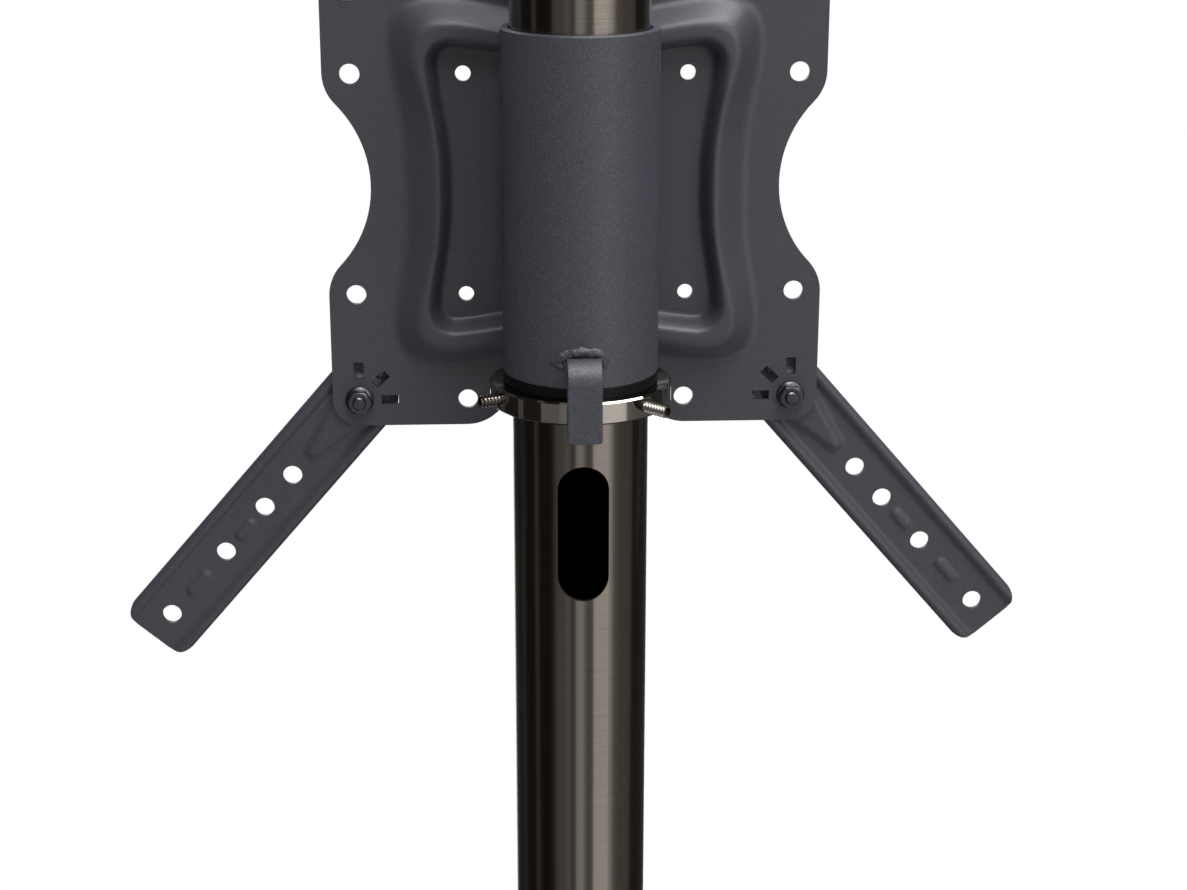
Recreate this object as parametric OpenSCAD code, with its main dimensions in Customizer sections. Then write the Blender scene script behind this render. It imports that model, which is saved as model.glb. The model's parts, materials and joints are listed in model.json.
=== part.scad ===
// Floor stand for a television: heavy base, tube pole, and a head that is clamped
// at its height by a collar, swivels on it and carries a pressed mounting plate with four arms.
// Origin on the floor under the pole's axis, +Z up, television side towards -Y. Millimetres.

/* [Pole] */
// Outer diameter of the pole
pole_d = 60; // [50:1:70]
// Wall of the pole's tube
pole_wall = 2; // [1.5:0.1:3]
// Height of the tube's top above the floor
pole_top = 1490; // [1440:5:1600]
// Width of the two cable holes
cable_hole_w = 22.5; // [16:0.5:28]
// Length of the two cable holes
cable_hole_len = 62.5; // [40:0.5:80]
// Height of the upper cable hole's centre
upper_hole_z = 1109.5; // [900:0.5:1112]
// Height of the lower cable hole's centre
lower_hole_z = 125; // [110:1:300]
// Height of the cap above the tube
cap_h = 10; // [5:0.5:20]
// Depth of the cap's plug in the tube
cap_plug_h = 16; // [8:1:40]
// Radius round the cap's upper edge
cap_round = 4; // [1:0.5:5]

/* [Base] */
// Width of the base plate
base_w = 600; // [500:10:700]
// Depth of the base plate
base_d = 420; // [360:10:500]
// Thickness of the base plate
base_t = 8; // [6:0.5:12]
// Radius of the base plate's corners
base_corner = 60; // [30:5:90]
// Diameter of a rubber foot
foot_d = 40; // [30:1:50]
// Height of a rubber foot
foot_h = 8; // [5:0.5:12]
// Distance of a foot's centre from the plate's edges
foot_inset = 58; // [40:1:70]

/* [Pole foot] */
// Diameter of the flange that is screwed to the base
flange_d = 112; // [106:1:118]
// Thickness of the flange
flange_t = 8; // [6:0.5:10]
// Height of the spigot inside the pole
spigot_h = 40; // [20:1:45]
// Bore through the spigot
spigot_bore_d = 40; // [20:1:42]
// Diameter of the four base screws
base_screw_d = 8; // [6:0.5:9]
// Diameter of the circle that the base screws stand on
base_screw_ring_d = 86; // [84:1:90]
// Diameter of the cover ring
cover_d = 136; // [130:1:150]
// Height of the cover ring
cover_h = 14; // [12:0.5:18]
// Wall of the cover ring
cover_wall = 1.5; // [1:0.1:2]

/* [Collar] */
// Diameter of the clamping collar
collar_d = 80; // [78:0.5:84]
// Height of the collar
collar_h = 10; // [9:0.5:14]
// Chamfer on the collar's edges
collar_chamfer = 0.8; // [0.3:0.1:1.5]
// Diameter of the set screws
set_screw_d = 6; // [5:0.5:6.5]
// Length of the left set screw outside the collar
set_screw_left_out = 11.3; // [8:0.1:18]
// Length of the right set screw outside the collar
set_screw_right_out = 8.3; // [8:0.1:18]
// Thickness of the thrust washer
thrust_t = 4.3; // [3:0.1:6]

/* [Sleeve] */
// Length of the sleeve
sleeve_h = 149; // [144:1:152]
// Wall of the sleeve
sleeve_wall = 3.5; // [3:0.1:4]
// Distance of the sleeve's lower end below the plate's centre
sleeve_drop = 73.2; // [70:0.1:74]

/* [Stop strap] */
// Width of the strap
strap_w = 15; // [10:0.5:18]
// Thickness of the strap
strap_t = 4; // [3:0.1:5]
// Height of the strap's top above the sleeve's lower end
strap_rise = 14; // [12:0.5:20]
// Length of the strap below the collar
strap_reach = 7; // [3:0.5:12]

/* [Mounting plate] */
// Height of the plate's centre above the floor
plate_z = 1250; // [1245:1:1340]
// Width and height of the square plate
plate_w = 224.6; // [222:0.2:228]
// Thickness of the plate's sheet
plate_t = 2.5; // [2:0.1:3]
// Distance from the pole's axis to the plate's rear face
plate_offset = 45; // [44:0.5:47]
// Smaller hole spacing of the television pattern
vesa_small = 100; // [100:1:100]
// Larger hole spacing of the television pattern
vesa_large = 200; // [200:1:200]
// Diameter of the holes of the small pattern
hole_small_d = 7; // [5:0.5:8]
// Diameter of the holes of the large pattern
hole_large_d = 9; // [7:0.5:10]
// Depth of the scallop in each side
scallop_depth = 20.3; // [16:0.1:22]
// Radius of a scallop
scallop_r = 53; // [50:1:60]
// Radius of the shoulders beside a scallop
shoulder_r = 20; // [15:1:24]
// Distance of the raised bead from the plate's centre, in the middle of a side
bead_mid = 67.5; // [66:0.5:69]
// Radius of the bead's long sides
bead_side_r = 327; // [300:1:400]
// Radius of the bead's corners
bead_corner_r = 12.4; // [12.2:0.1:14]
// Radius of the bead's crest
bead_crest_r = 8; // [7:0.1:8.5]
// Radius of the fillets at the bead's feet
bead_foot_r = 4; // [3:0.1:4.3]
// Length of a detent slot
detent_len = 8; // [6:0.5:9]
// Width of a detent slot
detent_w = 4.5; // [3.5:0.1:5]
// Distance of a detent slot's centre from the pivot
detent_r = 14; // [13.5:0.1:15]

/* [Arms] */
// Width of an arm
arm_w = 35.4; // [34:0.1:37]
// Thickness of the arm's sheet
arm_t = 2; // [1.6:0.1:2.2]
// Distance from the pivot to the arm's outer end
arm_reach = 156; // [152:1:175]
// Height of the ridges along the arm's edges
ridge_h = 2.1; // [1.5:0.1:2.2]
// Radius of a ridge's crest
ridge_crest_r = 3.1; // [2.8:0.1:3.4]
// Height of the raised boss round the pivot
boss_h = 2.3; // [2.3:0.1:2.8]
// Diameter of the boss at its top
boss_d = 21; // [19:0.5:22]
// Diameter of the holes for the television's screws
arm_hole_d = 9; // [6:0.5:10]
// Angle of the arms from the level, turned outwards
arm_angle = 45; // [45:1:45]
// Play of the detent, by which the arms hang lower
arm_play = 4; // [0:1:4]
// Diameter of the pivot bolts
pivot_d = 6; // [5:0.5:6.5]
// Width across the flats of the pivot bolts' heads and nuts
pivot_flats = 10; // [8:0.5:10]

/* [Hidden] */
$fn = 96;

// Overrun of every cut past the face that it leaves
over = 1;
// Clearances
tube_clear = 0.3;
sleeve_clear = 0.5;
screw_clear = 0.1;
plug_clear = 0.3;
strap_clear = 0.5;
arm_clear = 0.2;
pivot_clear = 0.3;

// Colours
powder = [0.25, 0.25, 0.27];
black_nickel = [0.35, 0.33, 0.31];
bright_steel = [0.68, 0.67, 0.65];
dark_zinc = [0.36, 0.36, 0.38];
black_nylon = [0.05, 0.05, 0.05];
black_rubber = [0.08, 0.08, 0.08];

// Pole and what fits it
pole_r = pole_d / 2;
pole_bore_r = pole_r - pole_wall;
base_top = foot_h + base_t;
pole_bottom = base_top + flange_t;
plug_r = pole_bore_r - plug_clear;
spigot_bore_r = spigot_bore_d / 2;

// Base screws
base_screw_head_d = base_screw_d * 1.9;
base_screw_len_share = 0.9;
base_screw_len = base_t + flange_t * base_screw_len_share;
base_socket_d = base_screw_d * 0.6;
base_socket_depth = base_screw_d / 3;

// Cover ring
cover_round = cover_h / 3;
cover_shoulder = cover_h - cover_round;

// Feet
feet_x = base_w / 2 - foot_inset;
feet_y = base_d / 2 - foot_inset;
foot_places = [for (x = [-feet_x, 0, feet_x], y = [-feet_y, feet_y]) [x, y]];
foot_taper = foot_d * 0.05;
foot_screw_d = foot_d / 8;
foot_screw_head_d = foot_screw_d * 2;
foot_screw_head_h = foot_h * 0.35;
foot_recess_h = foot_h * 0.5;
foot_hex_d = foot_screw_d / 2;
foot_hex_depth = foot_screw_head_h / 2;

// Collar
collar_r = collar_d / 2;
collar_bore_r = pole_r + tube_clear;
collar_top = plate_z - sleeve_drop - thrust_t;
collar_mid = collar_top - collar_h / 2;
set_screw_r = set_screw_d / 2;
set_screw_in = pole_r + tube_clear;
set_screw_hex_d = set_screw_d * 0.58;
set_screw_hex_depth = set_screw_d * 0.6;
// Angles of the set screws from the rear of the pole, seen from above
set_screw_left_angle = 44;
set_screw_right_angle = -67;

// Sleeve
sleeve_bore_r = pole_r + sleeve_clear;
sleeve_r = sleeve_bore_r + sleeve_wall;
sleeve_bottom = plate_z - sleeve_drop;
sleeve_edge = sleeve_wall * 0.15;
thrust_r = sleeve_r;

// Strap
strap_in = collar_r + strap_clear;
strap_out = strap_in + strap_t;
strap_top = sleeve_bottom + strap_rise;
strap_bottom = collar_top - collar_h - strap_reach;
// The strap bends down as soon as it leaves the sleeve
strap_bend_in = strap_in - sleeve_r - strap_clear;
strap_bend_out = strap_bend_in + strap_t;
strap_corner = strap_w * 0.1;

// Weld beads
weld_r = strap_t * 0.42;
weld_side_r = weld_r * 0.85;
weld_reach = sleeve_r * 0.44;
weld_start = sleeve_r * 0.2;
weld_w = bead_crest_r * 1.3;
weld_depth = sleeve_r / 4;

// Plate
plate_half = plate_w / 2;
pivot_place = vesa_large / 2;
plate_corner = plate_half - pivot_place;
plate_front = plate_offset + plate_t;
weld_gap = 0.2;
weld_back = weld_gap * 4;
// Depth by which the bead's foot fillets dip under the plate's face
foot_sink = 0.06;
bead_h = plate_offset - sleeve_r - weld_gap;
scallop_x = plate_half - scallop_depth + scallop_r;
shoulder_x = plate_half - shoulder_r;
shoulder_z = sqrt(pow(scallop_r + shoulder_r, 2) - pow(scallop_x - shoulder_x, 2));
shoulder_share = scallop_r / (scallop_r + shoulder_r);
// The bead's long sides bow inwards round centres outside the plate,
// and each corner arc runs smoothly into both of its neighbours
bead_side_x = bead_mid + bead_side_r;
bead_reach = bead_side_r + bead_corner_r;
bead_corner_place = (bead_side_x - sqrt(2 * pow(bead_reach, 2) - pow(bead_side_x, 2))) / 2;
bead_half_angle = atan2(bead_corner_place, bead_side_x - bead_corner_place);

// Arms, in their own frame: pivot at zero, X along the arm, Z towards the plate
arm_half = arm_w / 2;
ridge_v = arm_half - ridge_crest_r;
ridge_foot_r = arm_t * 2;
arm_web = plate_front + arm_clear + boss_h;
arm_bore_r = pivot_d / 2 + pivot_clear;
arm_end_corner = arm_w * 0.25;
arm_hole_places = [vesa_small / 2, vesa_small / 2 * sqrt(2), vesa_large / 2, vesa_large / 2 * sqrt(2)];
boss_slope = boss_h * 0.9;
boss_tip_place = arm_hole_places[0] * 0.7;
boss_tip_d = arm_hole_d;
// Raised oval bumps between the holes, as shares of the way from one hole to the next
bump_shares = [0.38, 0.62];
bump_r = arm_hole_d / 4;
tab_len = detent_len * 0.55;
tab_w = detent_w - 2 * detent_r * sin(arm_play) - arm_clear;

// Pivot fasteners
washer_d = pivot_d * 2;
washer_t = pivot_d * 0.2;
washer_in = arm_web + arm_t - boss_h;
head_in = washer_in + washer_t;
head_h = pivot_d * 0.66;
nut_h = pivot_d;
nut_flange_d = pivot_flats * 1.42;
nut_flange_t = nut_h * 0.18;
bolt_out = pivot_d * 0.35;
bolt_r = pivot_d / 2;
bolt_tip_h = pivot_d * 0.1;
bolt_tip_r = bolt_r - bolt_tip_h;
pivot_places = [for (x = [-pivot_place, pivot_place], z = [-pivot_place, pivot_place]) [x, z]];

// Shapes used more than once

// A rounded rectangle in the plane
module rounded_rect(w, d, r) {
    square([w, d - 2 * r], center = true);
    square([w - 2 * r, d], center = true);
    for (x = [-1, 1], y = [-1, 1])
        translate([x * (w / 2 - r), y * (d / 2 - r)])
            circle(r);
}

// A slot with round ends in the plane, long along Y
module obround(w, len) {
    square([w, len - w], center = true);
    for (y = [-1, 1])
        translate([0, y * (len - w) / 2])
            circle(w / 2);
}

// Cross-section of a pressed rib: a round crest that runs into its feet through concave fillets
module rib_shape(crest_r, foot_r, h, skirt, sink) {
    crest_y = h - crest_r;
    foot_y = foot_r - sink;
    foot_x = sqrt(pow(crest_r + foot_r, 2) - pow(foot_y - crest_y, 2));
    share = crest_r / (crest_r + foot_r);
    touch = [foot_x * share, crest_y + (foot_y - crest_y) * share];
    translate([0, crest_y])
        circle(crest_r);
    difference() {
        polygon([[-foot_x, -skirt], [-foot_x, 0], [-touch[0], touch[1]], [0, touch[1]],
            [touch[0], touch[1]], [foot_x, 0], [foot_x, -skirt]]);
        for (side = [-1, 1])
            translate([side * foot_x, foot_y])
                circle(foot_r);
    }
}

// Places children on the plate: X and Y of the child lie in the plate, Z points to the rear
module on_plate() {
    translate([0, -plate_offset, plate_z])
        rotate([90, 0, 180])
            children();
}

// Places children at each of the four pivots
module at_pivots() {
    for (place = pivot_places)
        translate([place[0], 0, plate_z + place[1]])
            rotate([-90, 0, 0])
                children();
}

// A prism with six flats
module hexagon(flats, h) {
    cylinder(d = flats / cos(30), h = h, $fn = 6);
}

// Base

module base_plate() {
    color(powder)
        difference() {
            translate([0, 0, foot_h])
                linear_extrude(base_t)
                    rounded_rect(base_w, base_d, base_corner);
            base_screw_holes(screw_clear);
            for (place = foot_places)
                translate([place[0], place[1], foot_h - over])
                    cylinder(d = foot_screw_d + 2 * screw_clear, h = base_t / 2 + over);
        }
}

module base_screw_holes(clear) {
    for (turn = [45, 135, 225, 315])
        rotate([0, 0, turn])
            translate([base_screw_ring_d / 2, 0, foot_h])
                base_screw(clear);
}

// A countersunk screw, or with a clearance the hole that it goes in
module base_screw(clear) {
    cone_h = (base_screw_head_d - base_screw_d) / 2;
    rotate_extrude()
        polygon([[0, 0], [base_screw_head_d / 2 + clear, 0], [base_screw_d / 2 + clear, cone_h],
            [base_screw_d / 2 + clear, base_screw_len + clear], [0, base_screw_len + clear]]);
}

module rubber_feet() {
    color(black_rubber)
        for (place = foot_places)
            translate([place[0], place[1], 0])
                rotate_extrude()
                    polygon([[foot_screw_d / 2 + screw_clear, foot_recess_h],
                        [foot_screw_head_d / 2 + plug_clear, foot_recess_h],
                        [foot_screw_head_d / 2 + plug_clear, 0],
                        [foot_d / 2 - foot_taper, 0], [foot_d / 2, foot_taper],
                        [foot_d / 2, foot_h], [foot_screw_d / 2 + screw_clear, foot_h]]);
}

module feet_screws() {
    color(bright_steel)
        for (place = foot_places)
            translate([place[0], place[1], foot_recess_h])
                difference() {
                    union() {
                        translate([0, 0, -foot_screw_head_h])
                            cylinder(d = foot_screw_head_d, h = foot_screw_head_h);
                        cylinder(d = foot_screw_d, h = foot_h - foot_recess_h + base_t / 2 - screw_clear);
                    }
                    translate([0, 0, -foot_screw_head_h - over])
                        hexagon(foot_hex_d, foot_hex_depth + over);
                }
}

module pole_foot() {
    color(bright_steel)
        difference() {
            union() {
                translate([0, 0, base_top])
                    cylinder(d = flange_d, h = flange_t);
                translate([0, 0, base_top])
                    cylinder(r = plug_r, h = flange_t + spigot_h);
            }
            translate([0, 0, base_top - over])
                cylinder(r = spigot_bore_r, h = flange_t + spigot_h + 2 * over);
            base_screw_holes(screw_clear);
        }
}

module base_screws() {
    color(bright_steel)
        difference() {
            base_screw_holes(0);
            for (turn = [45, 135, 225, 315])
                rotate([0, 0, turn])
                    translate([base_screw_ring_d / 2, 0, foot_h - over])
                        hexagon(base_socket_d, base_socket_depth + over);
        }
}

module base_cover() {
    inner_r = pole_r + tube_clear;
    outer_r = cover_d / 2;
    color(black_nickel)
        translate([0, 0, base_top])
            difference() {
                rotate_extrude() {
                    difference() {
                        union() {
                            translate([inner_r, 0])
                                square([outer_r - inner_r - cover_round, cover_h]);
                            translate([inner_r, 0])
                                square([outer_r - inner_r, cover_shoulder]);
                            translate([outer_r - cover_round, cover_shoulder])
                                circle(cover_round);
                        }
                        translate([inner_r - over, -over])
                            square([outer_r - inner_r - cover_round + over, cover_h - cover_wall + over]);
                        translate([inner_r - over, -over])
                            square([outer_r - inner_r - cover_wall + over, cover_shoulder + over]);
                        translate([outer_r - cover_round, cover_shoulder])
                            circle(cover_round - cover_wall);
                    }
                }
            }
}

// Pole

module pole() {
    color(black_nickel)
        difference() {
            translate([0, 0, pole_bottom])
                cylinder(r = pole_r, h = pole_top - pole_bottom);
            translate([0, 0, pole_bottom - over])
                cylinder(r = pole_bore_r, h = pole_top - pole_bottom + 2 * over);
            for (z = [upper_hole_z, lower_hole_z])
                translate([0, 0, z])
                    rotate([90, 0, 180])
                        linear_extrude(pole_r + over)
                            obround(cable_hole_w, cable_hole_len);
        }
}

module pole_cap() {
    color(black_nylon)
        rotate_extrude() {
            translate([0, pole_top]) {
                square([pole_r - cap_round, cap_h]);
                square([pole_r, cap_h - cap_round]);
                translate([pole_r - cap_round, cap_h - cap_round])
                    circle(cap_round);
            }
            translate([plug_r - pole_wall, pole_top - cap_plug_h])
                square([pole_wall, cap_plug_h]);
        }
}

// Collar

module collar_ring() {
    color(black_nickel)
        difference() {
            rotate_extrude()
                polygon([[collar_bore_r, collar_top - collar_h],
                    [collar_r - collar_chamfer, collar_top - collar_h],
                    [collar_r, collar_top - collar_h + collar_chamfer],
                    [collar_r, collar_top - collar_chamfer],
                    [collar_r - collar_chamfer, collar_top],
                    [collar_bore_r, collar_top]]);
            for (angle = [set_screw_left_angle, set_screw_right_angle])
                translate([0, 0, collar_mid])
                    rotate([-90, 0, angle])
                        cylinder(r = set_screw_r + screw_clear, h = collar_r + over);
        }
}

// A set screw with a hexagon socket, driven in radially from the outside
module set_screw(angle, out) {
    len = collar_r + out - set_screw_in;
    color(bright_steel)
        translate([0, 0, collar_mid])
            rotate([-90, 0, angle])
                translate([0, 0, set_screw_in])
                    difference() {
                        cylinder(r = set_screw_r, h = len);
                        translate([0, 0, len - set_screw_hex_depth])
                            hexagon(set_screw_hex_d, set_screw_hex_depth + over);
                    }
}

module set_screw_left() {
    set_screw(set_screw_left_angle, set_screw_left_out);
}

module set_screw_right() {
    set_screw(set_screw_right_angle, set_screw_right_out);
}

module thrust_washer() {
    color(black_nylon)
        translate([0, 0, collar_top])
            difference() {
                cylinder(r = thrust_r, h = thrust_t);
                translate([0, 0, -over])
                    cylinder(r = collar_bore_r, h = thrust_t + 2 * over);
            }
}

// Head

module sleeve() {
    color(powder)
        rotate_extrude()
            polygon([[sleeve_bore_r, sleeve_bottom],
                [sleeve_r - sleeve_edge, sleeve_bottom],
                [sleeve_r, sleeve_bottom + sleeve_edge],
                [sleeve_r, sleeve_bottom + sleeve_h - sleeve_edge],
                [sleeve_r - sleeve_edge, sleeve_bottom + sleeve_h],
                [sleeve_bore_r, sleeve_bottom + sleeve_h]]);
}

// Side view of the strap: X away from the pole, Y up
module strap_side() {
    bend = [strap_in - strap_bend_in, strap_top - strap_bend_out];
    difference() {
        translate(bend)
            circle(strap_bend_out);
        translate(bend)
            circle(strap_bend_in);
        translate([bend[0] - strap_bend_out - over, bend[1] - strap_bend_out - over])
            square([2 * strap_bend_out + 2 * over, strap_bend_out + over]);
        translate([bend[0] - strap_bend_out - over, bend[1] - over])
            square([strap_bend_out + over, strap_bend_out + 2 * over]);
    }
    translate([strap_in, strap_bottom])
        square([strap_t, bend[1] - strap_bottom]);
    translate([0, strap_top - strap_t])
        square([bend[0], strap_t]);
}

module stop_strap() {
    color(powder)
        difference() {
            translate([-strap_w / 2, 0, 0])
                rotate([90, 0, 90])
                    linear_extrude(strap_w)
                        strap_side();
            translate([0, 0, strap_bottom - over])
                cylinder(r = sleeve_r, h = strap_top - strap_bottom + 2 * over);
            for (side = [-1, 1])
                translate([side * (strap_w / 2 - strap_corner), 0, strap_bottom + strap_corner])
                    rotate([-90, 0, 0])
                        difference() {
                            translate([side > 0 ? 0 : -strap_corner - over, 0, strap_in - over])
                                cube([strap_corner + over, strap_corner + over, strap_t + 2 * over]);
                            translate([0, 0, strap_in - 2 * over])
                                cylinder(r = strap_corner, h = strap_t + 4 * over);
                        }
        }
}

// Beads of weld that run up one side of the strap's root, over its top and down the other side
module strap_weld() {
    half_angle = asin((strap_w + weld_r) / 2 / sleeve_r);
    low = strap_top - strap_t;
    high = strap_top + weld_r / 2;
    color(powder)
        difference() {
            union() {
                translate([0, 0, high])
                    rotate(90 - half_angle)
                        rotate_extrude(angle = 2 * half_angle)
                            translate([sleeve_r, 0])
                                circle(weld_r, $fn = 24);
                for (side = [-1, 1])
                    rotate(side * half_angle)
                        translate([0, sleeve_r, low])
                            cylinder(r = weld_side_r, h = high - low + weld_side_r / 2, $fn = 24);
            }
            translate([0, 0, low - over])
                cylinder(r = sleeve_r - sleeve_wall / 2, h = high - low + weld_r + 2 * over);
        }
}

// Welds that fill the wedges between the round sleeve and the bead's crest
module sleeve_welds() {
    color(powder)
        for (side_x = [-1, 1], side_z = [-1, 1])
            translate([0, 0, plate_z + side_z * bead_mid - weld_w / 2])
                linear_extrude(weld_w)
                    difference() {
                        translate([side_x > 0 ? weld_start : -weld_reach, -sleeve_r - weld_back])
                            square([weld_reach - weld_start, weld_depth]);
                        circle(sleeve_r - weld_gap);
                    }
}

// Outline of the plate with a scallop in each side
module plate_outline() {
    difference() {
        rounded_rect(plate_w, plate_w, plate_corner);
        for (turn = [0, 90, 180, 270])
            rotate(turn) {
                translate([scallop_x, 0])
                    circle(scallop_r, $fn = 192);
                difference() {
                    polygon([for (side = [-1, 1]) each let (touch_x = scallop_x
                        - (scallop_x - shoulder_x) * shoulder_share,
                        touch = [touch_x, side * shoulder_z * shoulder_share],
                        edge = [plate_half, side * shoulder_z],
                        out = [plate_half + over, side * shoulder_z])
                        side < 0 ? [touch, edge, out] : [out, edge, touch]]);
                    for (side = [-1, 1])
                        translate([shoulder_x, side * shoulder_z])
                            circle(shoulder_r);
                }
            }
    }
}

// Sweeps a cross-section round the closed loop of the bead
module along_bead() {
    for (turn = [0, 90, 180, 270])
        rotate(turn) {
            translate([bead_side_x, 0, 0])
                rotate(180 - bead_half_angle)
                    rotate_extrude(angle = 2 * bead_half_angle, $fn = 360)
                        translate([bead_side_r, 0])
                            children();
            translate([bead_corner_place, bead_corner_place, 0])
                rotate(-bead_half_angle)
                    rotate_extrude(angle = 90 + 2 * bead_half_angle)
                        translate([bead_corner_r, 0])
                            children();
        }
}

module vesa_plate() {
    color(powder)
        on_plate()
            difference() {
                union() {
                    translate([0, 0, -plate_t])
                        linear_extrude(plate_t)
                            plate_outline();
                    along_bead()
                        intersection() {
                            rib_shape(bead_crest_r, bead_foot_r, bead_h, plate_t / 2, foot_sink);
                            translate([-plate_corner, -plate_t / 2])
                                square([2 * plate_corner, bead_h + plate_t]);
                        }
                }
                along_bead()
                    translate([0, -plate_t])
                        rib_shape(bead_crest_r - plate_t, bead_foot_r + plate_t, bead_h, over, foot_sink);
                for (x = [-1, 1], y = [-1, 1]) {
                    plate_hole(x * vesa_small / 2, y * vesa_small / 2, hole_small_d);
                    plate_hole(x * vesa_large / 2, y * vesa_small / 2, hole_large_d);
                    plate_hole(x * vesa_small / 2, y * vesa_large / 2, hole_large_d);
                    plate_hole(x * pivot_place, y * pivot_place, pivot_d + 2 * screw_clear);
                    detent_slots(x, y);
                }
            }
}

module plate_hole(x, y, d) {
    translate([x, y, -plate_t - over])
        cylinder(d = d, h = plate_t + 2 * over);
}

// Three slots round a pivot that catch the arm's tab: level, slanted and upright
module detent_slots(x, y) {
    for (turn = [0, 45, 90])
        translate([x * pivot_place, y * pivot_place, 0])
            rotate(x > 0 ? (y > 0 ? 180 + turn : 180 - turn) : (y > 0 ? -turn : turn))
                translate([detent_r, 0, -plate_t / 2])
                    cube([detent_len, detent_w, plate_t + 2 * over], center = true);
}

// Pivot fasteners

module pivot_bolts() {
    color(dark_zinc)
        at_pivots()
            difference() {
                union() {
                    translate([0, 0, -head_in - head_h])
                        hexagon(pivot_flats, head_h);
                    translate([0, 0, -head_in - head_h / 2])
                        cylinder(d = pivot_d, h = head_in + head_h / 2 - plate_offset + nut_h + bolt_out);
                }
                translate([0, 0, nut_h + bolt_out - plate_offset])
                    rotate_extrude()
                        polygon([[bolt_tip_r, over], [bolt_tip_r, 0], [bolt_r, -bolt_tip_h],
                            [pivot_d, -bolt_tip_h], [pivot_d, over]]);
            }
}

module pivot_nuts() {
    color(dark_zinc)
        at_pivots()
            translate([0, 0, -plate_offset])
                difference() {
                    union() {
                        cylinder(d = nut_flange_d, h = nut_flange_t);
                        translate([0, 0, nut_flange_t])
                            cylinder(d1 = nut_flange_d, d2 = pivot_flats, h = nut_flange_t);
                        hexagon(pivot_flats, nut_h);
                    }
                    translate([0, 0, -over])
                        cylinder(d = pivot_d + 2 * screw_clear, h = nut_h + 2 * over);
                }
}

module pivot_washers() {
    color(bright_steel)
        at_pivots()
            translate([0, 0, -head_in])
                difference() {
                    cylinder(d = washer_d, h = washer_t);
                    translate([0, 0, -over])
                        cylinder(d = pivot_d + 2 * screw_clear, h = washer_t + 2 * over);
                }
}

// Arms

// Half of an arm's cross-section: X across the arm, Y towards the plate
module arm_half_section() {
    difference() {
        union() {
            translate([0, -arm_t])
                square([ridge_v, arm_t]);
            intersection() {
                translate([ridge_v, 0])
                    rib_shape(ridge_crest_r, ridge_foot_r, ridge_h, arm_t / 2, 0);
                translate([0, -arm_t])
                    square([arm_half, arm_t + ridge_h]);
            }
            translate([ridge_v, -arm_t])
                square([ridge_crest_r, arm_t + ridge_h - ridge_crest_r]);
        }
        intersection() {
            translate([ridge_v, -arm_t])
                rib_shape(ridge_crest_r - arm_t, ridge_foot_r + arm_t, ridge_h, over, 0);
            translate([0, -arm_t - over])
                square([ridge_v, arm_t + ridge_h + over]);
        }
        translate([ridge_v, ridge_h - ridge_crest_r])
            circle(ridge_crest_r - arm_t);
        translate([ridge_v - over, -arm_t - over])
            square([ridge_crest_r - arm_t + over, ridge_h - ridge_crest_r + arm_t + over]);
    }
}

module arm_outline() {
    circle(arm_half);
    translate([0, -arm_half])
        square([arm_reach - arm_end_corner, arm_w]);
    translate([arm_reach - arm_half, 0])
        rounded_rect(arm_w, arm_w, arm_end_corner);
}

// A tapered teardrop or oval from one place along the arm to another
module raised(from, from_r, to, to_r, h, slope) {
    hull() {
        translate([from, 0, 0])
            cylinder(r1 = from_r + slope, r2 = from_r, h = h, $fn = 32);
        translate([to, 0, 0])
            cylinder(r1 = to_r + slope, r2 = to_r, h = h, $fn = 32);
    }
}

// One arm, pointing along X from its pivot
module arm() {
    bumps = [for (hole = [1, 2]) [for (share = bump_shares)
        arm_hole_places[hole] + (arm_hole_places[hole + 1] - arm_hole_places[hole]) * share]];
    difference() {
        union() {
            intersection() {
                translate([-arm_half, 0, 0])
                    rotate([90, 0, 90])
                        linear_extrude(arm_half + arm_reach) {
                            arm_half_section();
                            mirror([1, 0])
                                arm_half_section();
                        }
                translate([0, 0, -arm_t - over])
                    linear_extrude(arm_t + boss_h + 2 * over)
                        arm_outline();
            }
            raised(0, boss_d / 2, boss_tip_place, boss_tip_d / 2, boss_h, boss_slope);
            for (bump = bumps)
                raised(bump[0], bump_r, bump[1], bump_r, boss_h / 2, boss_slope / 2);
            translate([-detent_r - tab_len / 2, -tab_w / 2, -arm_t / 2])
                cube([tab_len, tab_w, arm_t / 2 + boss_h]);
        }
        translate([0, 0, -arm_t])
            raised(0, boss_d / 2 - arm_t / 2, boss_tip_place, boss_tip_d / 2 - arm_t / 2, boss_h, boss_slope);
        translate([0, 0, -arm_t])
            cylinder(d = washer_d + 2 * arm_t, h = boss_h);
        translate([0, 0, -2 * arm_t - over])
            cylinder(r = arm_bore_r, h = 2 * arm_t + boss_h + 2 * over);
        for (place = arm_hole_places)
            translate([place, 0, -arm_t - over])
                cylinder(d = arm_hole_d, h = arm_t + 2 * over);
    }
}

// Puts an arm at its pivot: side is 1 towards +X, level is 1 at the top
module place_arm(side, level) {
    color(powder)
        translate([side * pivot_place, -arm_web, plate_z + level * pivot_place])
            rotate([0, -side * (level * arm_angle - arm_play), 0])
                rotate([-90, 0, 0])
                    rotate([0, 0, side > 0 ? 0 : 180])
                        arm();
}

module arm_top_left() {
    place_arm(-1, 1);
}

module arm_top_right() {
    place_arm(1, 1);
}

module arm_bottom_left() {
    place_arm(-1, -1);
}

module arm_bottom_right() {
    place_arm(1, -1);
}

base_plate();
rubber_feet();
feet_screws();
pole_foot();
base_screws();
base_cover();
pole();
pole_cap();
collar_ring();
set_screw_left();
set_screw_right();
thrust_washer();
sleeve();
stop_strap();
strap_weld();
sleeve_welds();
vesa_plate();
pivot_bolts();
pivot_nuts();
pivot_washers();
arm_top_left();
arm_top_right();
arm_bottom_left();
arm_bottom_right();
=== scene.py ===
import json
import math

import bpy
from mathutils import Matrix, Vector


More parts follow.
